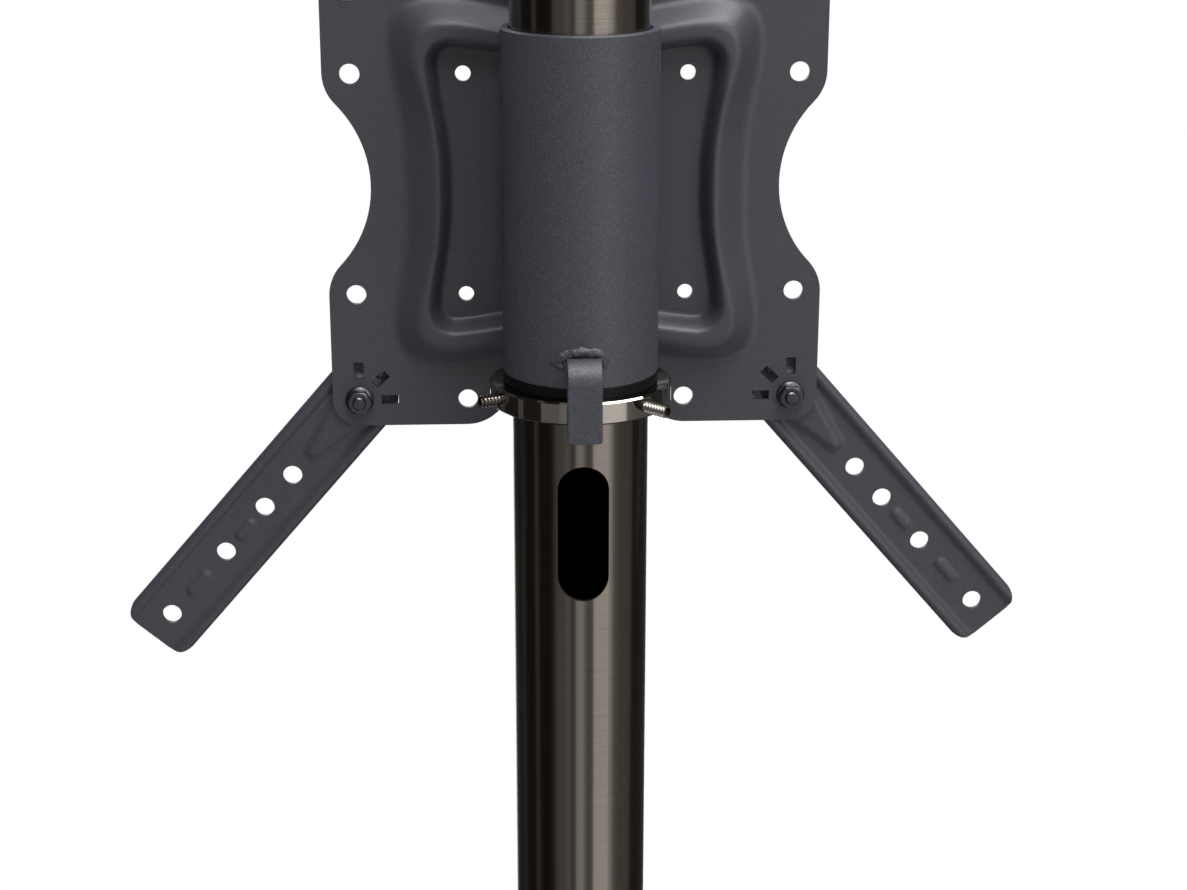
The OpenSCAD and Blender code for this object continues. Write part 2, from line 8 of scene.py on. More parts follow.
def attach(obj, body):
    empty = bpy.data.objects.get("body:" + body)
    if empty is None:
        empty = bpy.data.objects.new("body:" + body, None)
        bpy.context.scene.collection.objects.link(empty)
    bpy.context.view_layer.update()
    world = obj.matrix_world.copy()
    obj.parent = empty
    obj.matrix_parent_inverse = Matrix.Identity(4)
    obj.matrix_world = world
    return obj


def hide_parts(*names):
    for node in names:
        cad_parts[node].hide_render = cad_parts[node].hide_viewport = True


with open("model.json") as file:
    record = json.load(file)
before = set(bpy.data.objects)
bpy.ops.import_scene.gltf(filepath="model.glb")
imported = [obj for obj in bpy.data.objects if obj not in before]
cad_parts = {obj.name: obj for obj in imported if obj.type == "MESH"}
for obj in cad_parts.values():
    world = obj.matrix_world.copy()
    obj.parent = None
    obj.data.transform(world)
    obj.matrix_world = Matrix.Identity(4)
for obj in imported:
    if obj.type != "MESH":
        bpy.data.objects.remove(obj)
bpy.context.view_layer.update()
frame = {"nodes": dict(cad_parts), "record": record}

nodes = frame["nodes"]
joints = {joint["name"]: joint for joint in frame["record"]["behaviour"]["joints"]}
mm = 0.001
print("frame loaded:", len(nodes), "nodes")


def span(node, axis):
    # lowest and highest place of a CAD node along X, Y or Z, in mm
    places = [corner["XYZ".index(axis)] for corner in nodes[node].bound_box]
    return round(min(places) / mm, 2), round(max(places) / mm, 2)


def middleOf(node, axis):
    return round(sum(span(node, axis)) / 2, 2)


def fromHex(text):
    # sRGB hex to the linear colour that a shader takes
    values = [int(text[i:i + 2], 16) / 255 for i in (1, 3, 5)]
    linear = [v / 12.92 if v <= 0.04045 else ((v + 0.055) / 1.055) ** 2.4 for v in values]
    return (*linear, 1)


def addNode(tree, kind, settings=None, inputs=None):
    # one shader node, its settings, and what goes into its sockets
    node = tree.nodes.new(kind)
    for name, value in (settings or {}).items():
        setattr(node, name, value)
    for name, value in (inputs or {}).items():
        if isinstance(value, bpy.types.NodeSocket):
            tree.links.new(value, node.inputs[name])
        else:
            node.inputs[name].default_value = value
    return node


def startMaterial(name):
    material = bpy.data.materials.new(name)
    material.use_nodes = True
    tree = material.node_tree
    return material, tree, tree.nodes["Principled BSDF"]


def setRamp(node, stops):
    # stops are pairs of place and colour
    ramp = node.color_ramp
    while len(ramp.elements) < len(stops):
        ramp.elements.new(0.5)
    for element, (place, colour) in zip(ramp.elements, stops):
        element.position = place
        element.color = colour


# Camera: behind the stand, a little above the plate, with the photograph's lens
camera = {
    "place": (0.0419, 0.91544, 1.43653),
    "yaw": -2.985,  # degrees from straight ahead
    "pitch": 17.861,  # degrees down
    "roll": -0.113,
    "focalPixels": 2159.46,
    "pictureWidth": 1187,
    "sensor": 36.0,
}


def makeCamera(spec):
    data = bpy.data.cameras.new("camera")
    data.sensor_width = spec["sensor"]
    data.lens = spec["focalPixels"] / spec["pictureWidth"] * spec["sensor"]
    shot = bpy.data.objects.new("camera", data)
    bpy.context.scene.collection.objects.link(shot)
    # a camera looks along -Z, so it is first stood up, then turned to the stand's rear
    standUp = Matrix.Rotation(math.radians(90), 4, "X")
    turn = (Matrix.Rotation(math.radians(180 + spec["yaw"]), 4, "Z")
            @ Matrix.Rotation(-math.radians(spec["pitch"]), 4, "X")
            @ Matrix.Rotation(math.radians(spec["roll"]), 4, "Y"))
    shot.matrix_world = Matrix.Translation(spec["place"]) @ turn @ standUp
    bpy.context.scene.camera = shot


makeCamera(camera)


# Studio: white paper all round, three soft boxes, and a dark banded room that only the metal mirrors
studio = {
    "fill": 0.33,  # plain light from all round
    # soft boxes: name, place, power and size
    "lamps": (("key", (-0.8, 0.6, 3.9), 165.0, (4.2, 1.4)),
              ("front", (-1.9, 3.0, 2.6), 26.0, (1.8, 1.8)),
              ("rear", (1.4, -2.6, 2.8), 40.0, (1.8, 1.8))),
    "aim": (0, 0, 1.25),
    "floorSize": 14.0,
    # what the metal mirrors, once round the room: place as a share of the turn, and brightness
    "room": ((0.04, 1.0), (0.05, 0.08), (0.12, 0.04), (0.228, 0.03), (0.236, 0.15), (0.3, 0.15),
             (0.335, 0.2), (0.345, 0.85), (0.37, 0.95), (0.443, 0.88), (0.448, 0.16), (0.47, 0.15),
             (0.483, 0.3), (0.5, 0.58), (0.523, 0.56), (0.533, 0.13), (0.55, 0.11), (0.56, 0.26),
             (0.58, 0.22), (0.585, 0.17),
             (0.645, 0.17), (0.65, 0.02), (0.72, 0.02), (0.723, 0.1), (0.742, 0.1), (0.745, 0.02),
             (0.815, 0.02), (0.818, 0.06), (0.847, 0.06), (0.85, 0.02), (0.95, 0.05), (0.96, 1.0)),
    "roomTint": (1.0, 0.98, 0.95),
    "paper": "#f2f2f1",
    "paperGlow": 0.8,  # share of the floor's white that needs no light, near the stand
    "shadowEnds": (0.8, 1.6),  # metres from the stand over which that share grows to all
}


def makeWorld(spec):
    world = bpy.data.worlds.new("studio")
    bpy.context.scene.world = world
    world.use_nodes = True
    world.cycles.sampling_method = "NONE"  # so that the bands stay with the mirrored rays
    tree = world.node_tree
    tree.nodes.clear()
    rays = addNode(tree, "ShaderNodeLightPath")
    way = addNode(tree, "ShaderNodeTexCoord")
    split = addNode(tree, "ShaderNodeSeparateXYZ", None, {"Vector": way.outputs["Generated"]})
    # compass angle of a mirrored ray: 0 and 1 behind the stand, 0.5 straight to the photographer
    angle = addNode(tree, "ShaderNodeMath", {"operation": "ARCTAN2"},
                    {0: split.outputs["X"], 1: split.outputs["Y"]})
    turn = addNode(tree, "ShaderNodeMapRange", None,
                   {"Value": angle.outputs[0], "From Min": -math.pi, "From Max": math.pi})
    bands = addNode(tree, "ShaderNodeValToRGB", None, {"Fac": turn.outputs[0]})
    red, green, blue = spec["roomTint"]
    setRamp(bands, [(place, (light * red, light * green, light * blue, 1)) for place, light in spec["room"]])
    room = addNode(tree, "ShaderNodeBackground", None, {"Color": bands.outputs["Color"], "Strength": 1.0})
    plain = addNode(tree, "ShaderNodeBackground", None, {"Color": (1, 1, 1, 1), "Strength": spec["fill"]})
    paper = addNode(tree, "ShaderNodeBackground", None, {"Color": (1, 1, 1, 1), "Strength": 1.0})
    glossy = addNode(tree, "ShaderNodeMixShader", None,
                     {0: rays.outputs["Is Glossy Ray"], 1: plain.outputs[0], 2: room.outputs[0]})
    clear = addNode(tree, "ShaderNodeMath", {"operation": "MAXIMUM"},
                    {0: rays.outputs["Is Camera Ray"], 1: rays.outputs["Is Transmission Ray"]})
    seen = addNode(tree, "ShaderNodeMixShader", None,
                   {0: clear.outputs[0], 1: glossy.outputs[0], 2: paper.outputs[0]})
    addNode(tree, "ShaderNodeOutputWorld", None, {"Surface": seen.outputs[0]})


def addLamp(name, place, power, size, aim):
    light = bpy.data.lights.new(name, "AREA")
    light.energy = power
    light.shape = "RECTANGLE"
    light.size, light.size_y = size
    lamp = bpy.data.objects.new(name, light)
    bpy.context.scene.collection.objects.link(lamp)
    lamp.location = place
    lamp.rotation_euler = (Vector(aim) - Vector(place)).to_track_quat("-Z", "Y").to_euler()


def makeFloor(spec):
    bpy.ops.object.select_all(action="DESELECT")
    bpy.ops.mesh.primitive_plane_add(size=spec["floorSize"], location=(0, 0, 0))
    floor = bpy.context.object
    floor.name = "floor"
    floor.visible_glossy = False  # upright metal mirrors the room's bands, down to the ground
    material, tree, shader = startMaterial("white studio paper")
    shader.inputs["Base Color"].default_value = fromHex(spec["paper"])
    shader.inputs["Roughness"].default_value = 0.95
    rays = addNode(tree, "ShaderNodeLightPath")
    seen = addNode(tree, "ShaderNodeMath", {"operation": "MAXIMUM"},
                   {0: rays.outputs["Is Camera Ray"], 1: rays.outputs["Is Transmission Ray"]})
    place = addNode(tree, "ShaderNodeTexCoord").outputs["Object"]
    far = addNode(tree, "ShaderNodeVectorMath", {"operation": "LENGTH"}, {0: place})
    near, away = spec["shadowEnds"]
    plain = addNode(tree, "ShaderNodeMapRange", None,
                    {"Value": far.outputs["Value"], "From Min": near, "From Max": away,
                     "To Min": spec["paperGlow"], "To Max": 1.0})
    share = addNode(tree, "ShaderNodeMath", {"operation": "MULTIPLY"},
                    {0: seen.outputs[0], 1: plain.outputs["Result"]})
    glow = addNode(tree, "ShaderNodeEmission", None, {"Color": (1, 1, 1, 1), "Strength": 1.0})
    # the lit share of the paper keeps the stand's shadow
    paper = addNode(tree, "ShaderNodeMixShader", None,
                    {0: share.outputs[0], 1: shader.outputs[0], 2: glow.outputs[0]})
    tree.links.new(paper.outputs[0], tree.nodes["Material Output"].inputs["Surface"])
    floor.data.materials.append(material)


bpy.context.scene.view_settings.view_transform = "Standard"
makeWorld(studio)
for name, place, power, size in studio["lamps"]:
    addLamp(name, place, power, size, studio["aim"])
makeFloor(studio)
print("stage and camera made")


def powderCoat(name, tone, deepTone, paintedGlintTone, grain, depth):
    # Polyester powder coat, sprayed and baked: dull, with a fine pebbled skin whose tops are painted paler,
    # a painted glint for its sparkle
    material, tree, shader = startMaterial(name)
    place = addNode(tree, "ShaderNodeTexCoord").outputs["Object"]
    pebbles = addNode(tree, "ShaderNodeTexNoise", None,
                      {"Vector": place, "Scale": 1 / (grain * mm), "Detail": 3.0, "Roughness": 0.6})
    # the coat's tone drifts slowly, over some 60 mm
    cloud = addNode(tree, "ShaderNodeTexNoise", None,
                    {"Vector": place, "Scale": 1 / (60 * mm), "Detail": 2.0})
    tones = addNode(tree, "ShaderNodeMix", {"data_type": "RGBA"},
                    {"Factor": cloud.outputs["Fac"], "A": fromHex(tone), "B": fromHex(deepTone)})
    # the tops of the pebbles are painted a little paler, a painted glint, and are shinier
    tops = addNode(tree, "ShaderNodeMapRange", None,
                   {"Value": pebbles.outputs["Fac"], "From Min": 0.45, "From Max": 0.75})
    paintedGlints = addNode(tree, "ShaderNodeMix", {"data_type": "RGBA"},
                     {"Factor": tops.outputs["Result"], "A": tones.outputs["Result"],
                      "B": fromHex(paintedGlintTone)})
    sheen = addNode(tree, "ShaderNodeMapRange", None,
                    {"Value": pebbles.outputs["Fac"], "From Min": 0.3, "From Max": 0.7,
                     "To Min": 0.5, "To Max": 0.38})
    bump = addNode(tree, "ShaderNodeBump", None,
                   {"Height": pebbles.outputs["Fac"], "Strength": 0.8, "Distance": depth * mm})
    tree.links.new(paintedGlints.outputs["Result"], shader.inputs["Base Color"])
    tree.links.new(sheen.outputs["Result"], shader.inputs["Roughness"])
    tree.links.new(bump.outputs["Normal"], shader.inputs["Normal"])
    shader.inputs["IOR"].default_value = 1.5
    return material


def brushedNickel(name):
    # Stainless tube, brushed round and black-nickel plated: fine level lines, tall soft reflections
    material, tree, shader = startMaterial(name)
    place = addNode(tree, "ShaderNodeTexCoord").outputs["Object"]
    # brush lines 25 mm long and 0.35 mm apart, coarser than the real ones so that they show
    lines = addNode(tree, "ShaderNodeMapping", None,
                    {"Vector": place, "Scale": (1 / (25 * mm), 1 / (25 * mm), 1 / (0.35 * mm))})
    brush = addNode(tree, "ShaderNodeTexNoise", None,
                    {"Vector": lines.outputs["Vector"], "Scale": 1.0, "Detail": 3.0})
    tones = addNode(tree, "ShaderNodeMix", {"data_type": "RGBA"},
                    {"Factor": brush.outputs["Fac"], "A": fromHex("#7c756e"), "B": fromHex("#948d86")})
    rough = addNode(tree, "ShaderNodeMapRange", None,
                    {"Value": brush.outputs["Fac"], "To Min": 0.15, "To Max": 0.24})
    bump = addNode(tree, "ShaderNodeBump", None,
                   {"Height": brush.outputs["Fac"], "Strength": 0.1, "Distance": 0.02 * mm})
    tangent = addNode(tree, "ShaderNodeTangent", {"direction_type": "RADIAL", "axis": "Z"})
    tree.links.new(tones.outputs["Result"], shader.inputs["Base Color"])
    tree.links.new(rough.outputs["Result"], shader.inputs["Roughness"])
    tree.links.new(bump.outputs["Normal"], shader.inputs["Normal"])
    tree.links.new(tangent.outputs["Tangent"], shader.inputs["Tangent"])
    shader.inputs["Metallic"].default_value = 1
    shader.inputs["Anisotropic"].default_value = 0.9
    shader.inputs["Anisotropic Rotation"].default_value = 0.25
    return material


def metal(name, tone, wornTone, rough, spread):
    # Plated steel: colour and gloss drift a little where it was handled
    material, tree, shader = startMaterial(name)
    place = addNode(tree, "ShaderNodeTexCoord").outputs["Object"]
    marks = addNode(tree, "ShaderNodeTexNoise", None,
                    {"Vector": place, "Scale": 1 / (4 * mm), "Detail": 5.0, "Roughness": 0.65})
    tones = addNode(tree, "ShaderNodeMix", {"data_type": "RGBA"},
                    {"Factor": marks.outputs["Fac"], "A": fromHex(tone), "B": fromHex(wornTone)})
    sheen = addNode(tree, "ShaderNodeMapRange", None,
                    {"Value": marks.outputs["Fac"], "To Min": rough, "To Max": rough + spread})
    tree.links.new(tones.outputs["Result"], shader.inputs["Base Color"])
    tree.links.new(sheen.outputs["Result"], shader.inputs["Roughness"])
    shader.inputs["Metallic"].default_value = 1
    return material


def moulded(name, tone, paleTone, rough, grain):
    # Moulded plastic or rubber: dull, with a fine spark-eroded grain
    material, tree, shader = startMaterial(name)
    place = addNode(tree, "ShaderNodeTexCoord").outputs["Object"]
    skin = addNode(tree, "ShaderNodeTexNoise", None,
                   {"Vector": place, "Scale": 1 / (grain * mm), "Detail": 2.0})
    tones = addNode(tree, "ShaderNodeMix", {"data_type": "RGBA"},
                    {"Factor": skin.outputs["Fac"], "A": fromHex(tone), "B": fromHex(paleTone)})
    bump = addNode(tree, "ShaderNodeBump", None,
                   {"Height": skin.outputs["Fac"], "Strength": 0.2, "Distance": 0.1 * mm})
    tree.links.new(tones.outputs["Result"], shader.inputs["Base Color"])
    tree.links.new(bump.outputs["Normal"], shader.inputs["Normal"])
    shader.inputs["Roughness"].default_value = rough
    shader.inputs["Specular IOR Level"].default_value = 0.12
    return material


finishes = {
    "powder_coat": powderCoat("charcoal powder coat", "#3b3c43", "#34353b", "#43444b", 0.7, 0.06),
    "base_coat": powderCoat("black powder coat", "#26272a", "#1f2023", "#2e2f33", 0.7, 0.08),
    "brushed_black_nickel": brushedNickel("brushed black nickel on steel"),
    "polished_black_nickel": metal("polished black nickel", "#b9b4ad", "#a9a49d", 0.02, 0.04),
    "bright_steel": metal("bright zinc-plated steel", "#c9c6c0", "#aeaba6", 0.22, 0.16),
    "dark_zinc": metal("dark zinc-plated steel", "#66676d", "#505157", 0.24, 0.14),
    "nylon": moulded("moulded black nylon", "#0b0b0c", "#121213", 0.4, 0.5),
    "rubber": moulded("moulded black rubber", "#111111", "#1b1b1b", 0.75, 0.8),
}
# the sleeve and what is welded to it were coated more thickly: deeper pebbles, whose tops carry a paler
# painted glint
thickCoat = powderCoat("charcoal powder coat, pebbled", "#393a42", "#33343a", "#4b4c54", 0.8, 0.2)
thickCoated = ("sleeve", "stop_strap", "strap_weld")
slots = {part["node"]: part["material_slot"] for part in frame["record"]["subparts"]}
bodyOf = {node: body for body, members in frame["record"]["behaviour"]["bodies"].items() for node in members}
for node, slotName in slots.items():
    nodes[node].data.materials.clear()
    nodes[node].data.materials.append(finishes[slotName])
print("finishes given")


# Steps that every piece goes through
def pick(piece):
    bpy.ops.object.select_all(action="DESELECT")
    piece.select_set(True)
    bpy.context.view_layer.objects.active = piece


def choose(piece, kind, test):
    # selects the faces or edges that pass the test, and stays in edit mode
    pick(piece)
    bpy.ops.object.mode_set(mode="EDIT")
    bpy.ops.mesh.select_mode(type=kind)
    bpy.ops.mesh.select_all(action="DESELECT")
    bpy.ops.object.mode_set(mode="OBJECT")
    for item in piece.data.polygons if kind == "FACE" else piece.data.edges:
        item.select = test(item)
    bpy.ops.object.mode_set(mode="EDIT")


def finishModifier(piece, kind, **settings):
    # adds a modifier, sets it and applies it
    pick(piece)
    modifier = piece.modifiers.new(kind.lower(), kind)
    for name, value in settings.items():
        setattr(modifier, name, value)
    bpy.ops.object.modifier_apply(modifier=modifier.name)


def combine(piece, other, operation):
    finishModifier(piece, "BOOLEAN", operation=operation, object=other, solver="EXACT")
    bpy.data.objects.remove(other)


def bevelEdges(piece, width, segments, sharperThan):
    finishModifier(piece, "BEVEL", width=width * mm, segments=segments, limit_method="ANGLE",
                   angle_limit=math.radians(sharperThan))


def addCylinder(sides, radius, low, high, place=0, turn=0):
    # a cylinder or prism along Z, with its place and turn put into its mesh
    bpy.ops.object.select_all(action="DESELECT")
    bpy.ops.mesh.primitive_cylinder_add(vertices=sides, radius=radius * mm, depth=(high - low) * mm,
                                        location=(place * mm, 0, (low + high) / 2 * mm),
                                        rotation=(0, 0, turn))
    cylinder = bpy.context.object
    bpy.ops.object.transform_apply(location=True, rotation=True, scale=True)
    return cylinder


def faceOutward(piece):
    pick(piece)
    bpy.ops.object.mode_set(mode="EDIT")
    bpy.ops.mesh.select_all(action="SELECT")
    bpy.ops.mesh.normals_make_consistent(inside=False)
    bpy.ops.object.mode_set(mode="OBJECT")


def placeMesh(piece, matrix):
    piece.data.transform(matrix)
    piece.data.update()


def joinPieces(parts):
    pick(parts[0])
    for part in parts:
        part.select_set(True)
    bpy.ops.object.join()
    return parts[0]


def copyNode(node):
    # a merged copy of a CAD node, cleared of the normals that came with it
    piece = bpy.data.objects.new(node + "Copy", nodes[node].data.copy())
    bpy.context.scene.collection.objects.link(piece)
    pick(piece)
    bpy.ops.mesh.customdata_custom_splitnormals_clear()
    bpy.ops.object.mode_set(mode="EDIT")
    bpy.ops.mesh.select_all(action="SELECT")
    bpy.ops.mesh.remove_doubles(threshold=0.001 * mm)
    bpy.ops.object.mode_set(mode="OBJECT")
    return piece


def settle(piece, name, node, smoothAngle=30):
    # smooth shading, the node's finish and body, and the node's place in the scene
    pick(piece)
    bpy.ops.object.shade_smooth_by_angle(angle=math.radians(smoothAngle))
    piece.name = name
    piece.data.name = name
    piece.data.materials.clear()
    piece.data.materials.append(thickCoat if node in thickCoated else finishes[slots[node]])
    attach(piece, bodyOf[node])
    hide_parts(node)
    return piece


# Pressed sheets: a fine grid takes the pressed form and its thickness, then it is cut to shape
def pressSheet(long, wide, step, thickness, heightAt, middle=0, follow=None):
    bpy.ops.object.select_all(action="DESELECT")
    bpy.ops.mesh.primitive_grid_add(x_subdivisions=round(long / step), y_subdivisions=round(wide / step),
                                    size=1, location=(0, 0, 0))
    sheet = bpy.context.object
    for vertex in sheet.data.vertices:
        x = vertex.co.x * long + middle
        y = vertex.co.y * wide
        if follow:
            x, y = follow(x, y)
        vertex.co = (x * mm, y * mm, heightAt(x, y) * mm)
    bpy.ops.object.mode_set(mode="EDIT")
    bpy.ops.mesh.select_all(action="SELECT")
    bpy.ops.mesh.extrude_region_move(TRANSFORM_OT_translate={"value": (0, 0, -thickness * mm)})
    bpy.ops.object.mode_set(mode="OBJECT")
    for vertex in sheet.data.vertices:
        if vertex.select:
            vertex.co.z = max(vertex.co.z, -thickness * mm)
    faceOutward(sheet)
    return sheet


def ease(share):
    # from 0 to 1 with a soft start and a soft end
    share = min(max(share, 0), 1)
    return share * share * (3 - 2 * share)


def ramp(share, soft):
    # from 0 to 1 in a straight line with rounded ends
    share = min(max(share, 0), 1)
    steepest = 1 / (1 - soft)
    if share < soft:
        return steepest * share * share / (2 * soft)
    if share > 1 - soft:
        return 1 - steepest * (1 - share) ** 2 / (2 * soft)
    return steepest * (share - soft / 2)


def cornerDistance(fromSide, fromTop, radius):
    # how far a point lies inside a rounded corner, from its distances inside the two sides
    a, b = radius - fromSide, radius - fromTop
    return radius - math.hypot(max(a, 0), max(b, 0)) - min(max(a, b), 0)


# Mounting plate: bead with a crisp inner foot and a wide soft outer slope
plate = {
    "sheet": 226,
    "step": 1.12,
    "thickness": 2.5,
    "front": span("vesa_plate", "Y")[0],
    "centre": middleOf("vesa_plate", "Z"),
    "height": 10.7,
    "innerMid": 55.8,  # the bead's inner foot in the middle of a side, and how far it bows out
    "innerBow": 6.2,
    "innerBowFrom": 5.0,
    "innerBowTo": 65.0,
    "innerCorner": 8.0,
    "innerSlope": 5.8,
    "innerRise": 1.6,
    "innerFillet": 1.8,
    "outerMid": 78.7,
    "outerBow": 6.7,
    "outerBowFrom": 15.0,
    "outerBowTo": 67.0,
    "outerRound": 8.5,
    "outerSlope": 12.5,
    "outerLonger": 6.0,  # added to the slope on the two upright sides
    "longerOver": 40.0,
    "outerSoft": 0.3,  # share of the slope that its rounded ends take up
    "wallLean": 0.05,  # how far a wall's normal may lean from level
    "near": 0.02,
    "cutterReach": 20.0,
}
plate["rear"] = plate["front"] + plate["thickness"]


def bow(place, side):
    return plate[side + "Bow"] * ease((place - plate[side + "BowFrom"])
                                      / (plate[side + "BowTo"] - plate[side + "BowFrom"]))


def plateHeight(x, y):
    x, y = abs(x), abs(y)
    inner = cornerDistance(plate["innerMid"] + bow(y, "inner") - x,
                           plate["innerMid"] + bow(x, "inner") - y, plate["innerCorner"])
    # the outer slope rounds its corners at every height
    soft = plate["outerRound"]
    outer = -soft * math.log(math.exp((x - plate["outerMid"] - bow(y, "outer")) / soft)
                             + math.exp((y - plate["outerMid"] - bow(x, "outer")) / soft))
    share = min(max(-inner / plate["innerSlope"], 0), 1)
    rise = 1 - (1 - share) ** plate["innerRise"]
    run = plate["outerSlope"] + plate["outerLonger"] * ease((x - y) / plate["longerOver"])
    fall = ramp(outer / run, plate["outerSoft"])
    return plate["height"] * rise * ease(-inner / plate["innerFillet"]) * fall


def alongBead(x, y):
    # bows the grid's lines so that they run along the bead's inner foot
    return (x + math.copysign(bow(abs(y), "inner"), x) * min(abs(x) / plate["innerMid"], 1),
            y + math.copysign(bow(abs(x), "inner"), y) * min(abs(y) / plate["innerMid"], 1))


def makePlate(spec):
    sheet = pressSheet(spec["sheet"], spec["sheet"], spec["step"], spec["thickness"], plateHeight,
                       follow=alongBead)
    placeMesh(sheet, Matrix.Translation((0, spec["rear"] * mm, spec["centre"] * mm))
              @ Matrix(((-1, 0, 0, 0), (0, 0, 1, 0), (0, 1, 0, 0), (0, 0, 0, 1))))
    # the cutter is the CAD plate's own edges and hole walls, made taller and capped
    cutter = copyNode("vesa_plate")
    front = spec["front"] * mm
    near = spec["near"] * mm
    points = cutter.data.vertices

    def isSpare(face):
        places = [points[i].co.y for i in face.vertices]
        wall = (abs(face.normal.y) < spec["wallLean"] and min(places) < front + near
                and abs(max(places) - spec["rear"] * mm) < near)
        return not wall

    def isRim(edge, side):
        return all((points[i].co.y - front) * side > near for i in edge.vertices)

    choose(cutter, "FACE", isSpare)
    bpy.ops.mesh.delete(type="FACE")
    bpy.ops.object.mode_set(mode="OBJECT")
    reach = spec["cutterReach"] * mm
    points = cutter.data.vertices
    for vertex in points:
        vertex.co.y += reach if vertex.co.y > front + near else -reach
    for side in (-1, 1):
        choose(cutter, "EDGE", lambda edge: isRim(edge, side))
        bpy.ops.mesh.fill()
        bpy.ops.object.mode_set(mode="OBJECT")
    faceOutward(cutter)
    combine(sheet, cutter, "INTERSECT")
    settle(sheet, "mountingPlate", "vesa_plate", 75)


makePlate(plate)
print("plate pressed")


# Arms: a channel with ridged edges, a teardrop boss at the pivot and small ovals between the holes
arms = {
    "step": 0.9,
    "reach": 156.0,
    "width": 35.4,
    "thickness": 2.0,
    "spareLong": 8.0,  # what the sheet has over, before it is cut to its outline
    "spareWide": 3.0,
    "front": span("arm_top_right", "Y")[0],
    "pivot": round(joints["arm_top_right_pivot"]["pos_m"][0] / mm, 2),
    "turn": 45.0,
    "play": 4.0,
    "ridge": 2.26,
    "ridgeRound": 2.9,
    "ridgeFoot": 10.4,
    "boss": 2.28,
    "bossFrom": 13.4,
    "bossTo": 5.4,
    "bossEnd": 34.6,
    "bossFlank": 5.4,
    "holes": (50.0, 70.71, 100.0, 141.42),
    "holeSize": 9.0,
    "bore": 6.6,
    "bump": 1.15,
    "bumpRound": 3.3,
    "bumpShare": (0.38, 0.62),  # where an oval starts and ends between two holes
    "bumpFlank": 2.2,
    "blend": 4,  # how crisply the ridge, boss and ovals meet
    "tab": (4.6, 3.6),
    "tabAt": 14.6,
    "cutterReach": 20.0,
}
arms["web"] = arms["front"] + arms["thickness"]  # the web's rear face


def capsule(u, v, start, end, startRound, endRound):
    # how far a point lies inside a tapered, round-ended shape along the arm
    share = min(max((u - start) / (end - start), 0), 1)
    away = math.hypot(u - start - share * (end - start), v)
    return startRound + (endRound - startRound) * share - away


def armHeight(u, v):
    v = abs(v)
    crest = arms["width"] / 2 - arms["ridgeRound"]
    if v > crest:
        across = min(v - crest, arms["ridgeRound"])
        ridge = arms["ridge"] - arms["ridgeRound"] + math.sqrt(arms["ridgeRound"] ** 2 - across ** 2)
    else:
        ridge = arms["ridge"] * ease((v - arms["ridgeFoot"]) / (crest - arms["ridgeFoot"]))
    if v > crest:
        return max(ridge, -arms["thickness"] / 2)
    inBoss = capsule(u, v, 0, arms["bossEnd"], arms["bossFrom"], arms["bossTo"])
    boss = arms["boss"] * ease(inBoss / arms["bossFlank"])
    bumps = 0
    for low, high in zip(arms["holes"][1:], arms["holes"][2:]):
        start, end = [low + (high - low) * share for share in arms["bumpShare"]]
        inBump = capsule(u, v, start, end, arms["bumpRound"], arms["bumpRound"])
        bumps = max(bumps, arms["bump"] * ease(inBump / arms["bumpFlank"]))
    blend = arms["blend"]
    raised = (max(ridge, 0) ** blend + boss ** blend + bumps ** blend) ** (1 / blend)
    return min(raised, arms["boss"])


def makeArm(side, level, node, name):
    length = arms["reach"] + arms["width"] / 2 + arms["spareLong"]
    sheet = pressSheet(length, arms["width"] + arms["spareWide"], arms["step"], arms["thickness"], armHeight,
                       middle=(length - arms["width"] - arms["spareLong"]) / 2)
    angle = math.radians(-side * (level * arms["turn"] - arms["play"]))
    matrix = (Matrix.Translation((side * arms["pivot"] * mm, arms["web"] * mm,
                                  (plate["centre"] + level * arms["pivot"]) * mm))
              @ Matrix.Rotation(angle, 4, "Y") @ Matrix.Rotation(math.radians(-90), 4, "X")
              @ Matrix.Rotation(0 if side > 0 else math.pi, 4, "Z"))
    # holes and bore, cut in the arm's own frame
    reach = arms["cutterReach"]
    for place, size in [(hole, arms["holeSize"]) for hole in arms["holes"]] + [(0, arms["bore"])]:
        combine(sheet, addCylinder(48, size / 2, -reach / 2, reach / 2, place), "DIFFERENCE")
    # the dimple that catches in the plate's slot
    bpy.ops.object.select_all(action="DESELECT")
    bpy.ops.mesh.primitive_uv_sphere_add(segments=32, ring_count=16, radius=1,
                                         location=(-arms["tabAt"] * mm, 0, 0))
    tab = bpy.context.object
    tab.scale = (arms["tab"][0] / 2 * mm, arms["tab"][1] / 2 * mm, arms["boss"] * mm)
    bpy.ops.object.transform_apply(location=True, rotation=True, scale=True)
    placeMesh(sheet, matrix)
    placeMesh(tab, matrix)
    # outline: the hull round the CAD arm, seen along the pivot
    hull = copyNode(node)
    for vertex in hull.data.vertices:
        vertex.co.y = (arms["web"] - reach) * mm
    bpy.ops.object.mode_set(mode="EDIT")
    bpy.ops.mesh.select_all(action="SELECT")
    bpy.ops.mesh.duplicate_move(TRANSFORM_OT_translate={"value": (0, 2 * reach * mm, 0)})
    bpy.ops.mesh.select_all(action="SELECT")
    bpy.ops.mesh.convex_hull()
    bpy.ops.object.mode_set(mode="OBJECT")
    combine(sheet, hull, "INTERSECT")
    settle(joinPieces([sheet, tab]), name, node, 35)


makeArm(-1, 1, "arm_top_left", "armTopLeft")
makeArm(1, 1, "arm_top_right", "armTopRight")
makeArm(-1, -1, "arm_bottom_left", "armBottomLeft")
makeArm(1, -1, "arm_bottom_right", "armBottomRight")
print("arms pressed")


# Threads: cut as a real helix, coarser than M6's 1 mm so that the turns show from a step away
thread = {
    "radius": 3.0,
    "pitch": 1.6,
    "depth": 0.95,
    "steps": 32,
    "over": 1.5,  # turns wound below the rod's end, and as many above, which are cut off
    "play": 0.01,
    "merge": 0.001,
}


